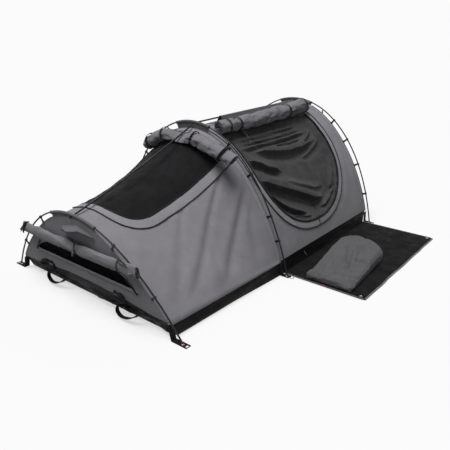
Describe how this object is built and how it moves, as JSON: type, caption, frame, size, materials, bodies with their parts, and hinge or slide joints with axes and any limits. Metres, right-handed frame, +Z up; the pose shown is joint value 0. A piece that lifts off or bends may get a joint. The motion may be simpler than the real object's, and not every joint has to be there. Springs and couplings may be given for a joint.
{
  "type": "swag bedroll",
  "caption": "Double dome swag bedroll: canvas sleeping shell over bent hoop poles, with mesh door and windows, rolled covers, foam mattress, entry mat and gear bag.",
  "frame": {"origin": "on the ground at the centre of the underside of the tub floor", "axes": "+Y from the low foot end to the tall head end, +X to the side with the entry mat, +Z up"},
  "size_m": [2.0192, 2.2759, 0.9167],
  "materials": {
    "canvas": "matt grey waterproof canvas",
    "pvc": "black coated fabric, slight sheen",
    "mesh": "black insect mesh, slight sheen",
    "pole": "black anodised",
    "pole_tip": "dark red",
    "webbing": "black woven webbing",
    "plastic": "black moulded",
    "steel": "plated wire and die cast metal",
    "foam": "dark cover over foam",
    "binding": "light grey woven binding"
  },
  "bodies": {
    "shelter": {"far_door_cover": "canvas", "far_door_mesh": "mesh", "foot_cover_bar": "canvas", "foot_end_wall": "canvas", "foot_far_hook_tape": "webbing", "foot_far_pole_tip": "pole_tip", "foot_far_webbing_tab": "webbing", "foot_hoop_pole": "pole", "foot_hoop_sleeve": "canvas", "foot_near_hook_tape": "webbing", "foot_near_pole_tip": "pole_tip", "foot_near_webbing_tab": "webbing", "foot_ridge_cap": "plastic", "foot_ridge_pole": "pole", "foot_ridge_tip": "pole_tip", "foot_section_canvas": "canvas", "foot_window_mesh": "mesh", "head_end_wall": "canvas", "head_far_hook_tape": "webbing", "head_far_pole_tip": "pole_tip", "head_far_webbing_tab": "webbing", "head_hoop_pole": "pole", "head_hoop_sleeve": "canvas", "head_near_hook_tape": "webbing", "head_near_pole_tip": "pole_tip", "head_near_webbing_tab": "webbing", "head_ridge_pole": "pole", "head_ridge_sleeve": "canvas", "head_section_canvas": "canvas", "left_buckle_socket": "plastic", "left_carry_loop": "webbing", "mattress": "foam", "mid_far_hook_tape": "webbing", "mid_far_pole_tip": "pole_tip", "mid_far_webbing_tab": "webbing", "mid_hoop_pole": "pole", "mid_hoop_sleeve": "canvas", "mid_near_hook_tape": "webbing", "mid_near_pole_tip": "pole_tip", "mid_near_webbing_tab": "webbing", "near_door_mesh": "mesh", "near_door_roll": "canvas", "right_buckle_socket": "plastic", "right_carry_loop": "webbing", "roof_cover_roll": "canvas", "roof_window_mesh": "mesh", "tub_floor": "pvc", "vent_hood": "canvas"},
    "mat": {"entry_mat": "pvc", "mat_binding": "binding"},
    "bag": {"gear_bag": "canvas"},
    "left_plug": {"left_buckle_plug": "plastic"},
    "right_plug": {"right_buckle_plug": "plastic"},
    "near_slider": {"near_zip_slider": "steel"},
    "near_pull": {"near_zip_pull": "webbing"},
    "far_slider": {"far_zip_slider": "steel"},
    "far_pull": {"far_zip_pull": "webbing"},
    "near_ring": {"near_peg_ring": "steel"},
    "far_ring": {"far_peg_ring": "steel"}
  },
  "joints": [
    {"name": "entry_mat_fold", "type": "hinge", "parent": "shelter", "child": "mat", "pos_m": [0.6921, 0, 0.0033], "axis": [0, -1, 0], "range_deg": [0, 50]},
    {"name": "gear_bag_slide", "type": "slide", "parent": "mat", "child": "bag", "axis": [0, 1, 0], "range_m": [0, 0.45]},
    {"name": "left_buckle_release", "type": "slide", "parent": "shelter", "child": "left_plug", "axis": [1, 0, 0], "range_m": [0, 0.03]},
    {"name": "right_buckle_release", "type": "slide", "parent": "shelter", "child": "right_plug", "axis": [1, 0, 0], "range_m": [0, 0.03]},
    {"name": "near_door_zip", "type": "slide", "parent": "shelter", "child": "near_slider", "axis": [0.0055, 1, 0], "range_m": [-0.05, 0.05]},
    {"name": "near_zip_pull_swing", "type": "hinge", "parent": "near_slider", "child": "near_pull", "pos_m": [0.64877, 0.39681, 0.20109], "axis": [-0.0055, -1, 0], "range_deg": [0, 60]},
    {"name": "far_door_zip", "type": "slide", "parent": "shelter", "child": "far_slider", "axis": [-0.0055, 1, 0], "range_m": [-0.05, 0.05]},
    {"name": "far_zip_pull_swing", "type": "hinge", "parent": "far_slider", "child": "far_pull", "pos_m": [-0.65184, 0.39679, 0.2023], "axis": [-0.0055, 1, 0], "range_deg": [0, 60]},
    {"name": "near_peg_ring_swing", "type": "hinge", "parent": "shelter", "child": "near_ring", "pos_m": [0.7513, -0.131, 0.0047], "axis": [0, -1, 0], "range_deg": [0, 75]},
    {"name": "far_peg_ring_swing", "type": "hinge", "parent": "shelter", "child": "far_ring", "pos_m": [-0.7513, -0.131, 0.0047], "axis": [0, 1, 0], "range_deg": [0, 75]}
  ]
}
